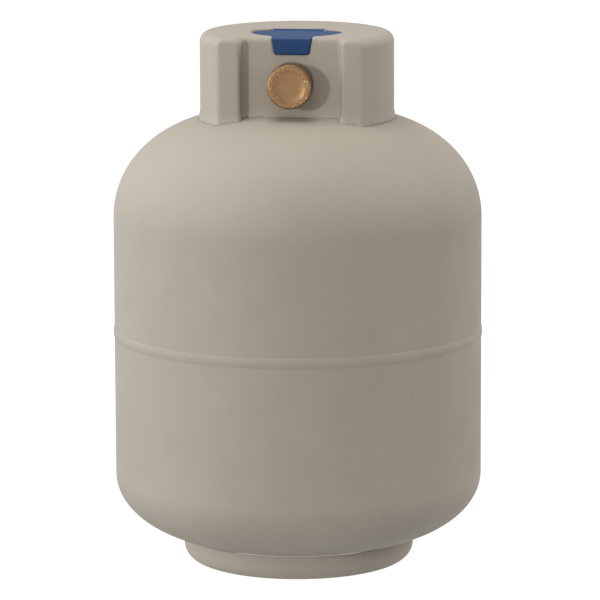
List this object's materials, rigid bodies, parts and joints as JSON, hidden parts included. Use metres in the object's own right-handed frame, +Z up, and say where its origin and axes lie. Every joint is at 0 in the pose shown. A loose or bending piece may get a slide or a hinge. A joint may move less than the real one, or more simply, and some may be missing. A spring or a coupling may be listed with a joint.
{
  "type": "propane tank",
  "caption": "Upright portable propane tank: two domed steel halves, rolled foot ring, closed valve guard with a hinged blue cover, brass outlet cap, and the working valve inside.",
  "frame": {"origin": "on the floor, on the vessel's axis, in the middle of the bounding box's base", "axes": "+Z up the vessel's axis; the outlet and the guard's flat front face -Y; the cover's hinge is at the rear of the cover and the hand hold is at +Y"},
  "size_m": [0.3124, 0.3124, 0.4506],
  "materials": {
    "painted_steel": "matt warm grey powder coat",
    "guard_plastic": "matt moulded plastic in the tank's grey",
    "blue_plastic": "satin moulded blue",
    "brass": "dull turned brass",
    "zinc_steel": "zinc plated",
    "spring_steel": "bright spring wire",
    "bare_steel": "bare forged and rolled steel",
    "rubber": "black nitrile",
    "black_plastic": "black moulded nylon",
    "float_foam": "closed-cell nitrile foam"
  },
  "bodies": {
    "tank": {"lower_shell": "painted_steel", "upper_shell": "painted_steel", "girth_weld": "painted_steel", "backing_ring": "bare_steel", "foot_ring": "painted_steel", "foot_ring_weld": "painted_steel", "valve_boss": "bare_steel", "boss_weld": "painted_steel", "guard_shell": "guard_plastic", "guard_post_1": "zinc_steel", "guard_post_2": "zinc_steel", "guard_post_3": "zinc_steel", "guard_post_4": "zinc_steel", "guard_screw_1": "zinc_steel", "guard_screw_2": "zinc_steel", "guard_screw_3": "zinc_steel", "guard_screw_4": "zinc_steel", "cover_hinge_pin": "zinc_steel", "valve_body": "brass", "gland_nut": "brass", "stem_seal": "rubber", "outlet_fitting": "brass", "fitting_seal": "rubber", "check_retainer": "brass", "check_spring": "spring_steel", "relief_spring": "spring_steel", "relief_retainer": "brass", "dip_tube": "brass", "stop_housing": "black_plastic", "float_pin": "zinc_steel"},
    "cover": {"valve_cover": "blue_plastic"},
    "handwheel": {"handwheel": "black_plastic", "valve_stem": "brass", "handwheel_screw": "zinc_steel"},
    "seat": {"seat_piston": "brass", "seat_disc": "rubber"},
    "cap_seal": {"cap_gasket": "rubber"},
    "cap": {"outlet_cap": "brass"},
    "check": {"check_plunger": "brass"},
    "relief": {"relief_poppet": "brass", "relief_seal": "rubber"},
    "bleed": {"bleed_screw": "brass"},
    "float": {"float_arm": "zinc_steel", "float": "float_foam", "float_clip": "zinc_steel"},
    "stop": {"stop_plunger": "black_plastic"}
  },
  "joints": [
    {"name": "cover_hinge", "type": "hinge", "parent": "tank", "child": "cover", "pos_m": [0, 0.0178, 0.44805], "axis": [-1, 0, 0], "range_deg": [0, 100]},
    {"name": "handwheel_turn", "type": "hinge", "parent": "tank", "child": "handwheel", "pos_m": [0, 0, 0.438], "axis": [0, 0, 1], "range_deg": [0, 540]},
    {"name": "seat_lift", "type": "slide", "parent": "handwheel", "child": "seat", "axis": [0, 0, 1], "range_m": [0, 0.003]},
    {"name": "cap_travel", "type": "slide", "parent": "tank", "child": "cap_seal", "axis": [0, -1, 0], "range_m": [0, 0.0148]},
    {"name": "cap_turn", "type": "hinge", "parent": "cap_seal", "child": "cap", "pos_m": [0, -0.054, 0.4116], "axis": [0, -1, 0], "range_deg": [0, 1260]},
    {"name": "check_travel", "type": "slide", "parent": "tank", "child": "check", "axis": [0, 1, 0], "range_m": [0, 0.003], "stiffness_N_per_m": 600, "springref_m": -0.002, "deforming": ["check_spring"]},
    {"name": "relief_lift", "type": "slide", "parent": "tank", "child": "relief", "axis": [0, 1, 0], "range_m": [0, 0.003], "stiffness_N_per_m": 4000, "springref_m": -0.004, "deforming": ["relief_spring"]},
    {"name": "bleed_turn", "type": "hinge", "parent": "tank", "child": "bleed", "pos_m": [0, 0.018, 0.417], "axis": [0, 1, 0], "range_deg": [0, 360]},
    {"name": "float_swing", "type": "hinge", "parent": "tank", "child": "float", "pos_m": [0, 0, 0.3363], "axis": [-1, 0, 0], "range_deg": [0, 70]},
    {"name": "stop_lift", "type": "slide", "parent": "tank", "child": "stop", "axis": [0, 0, 1], "range_m": [0, 0.004]}
  ],
  "couplings": [
    {"joint": "seat_lift", "follows": "handwheel_turn", "m_per_rad": 0.000318},
    {"joint": "cap_travel", "follows": "cap_turn", "m_per_rad": 0.00067},
    {"joint": "stop_lift", "follows": "float_swing", "m_per_rad": 0.00327}
  ]
}
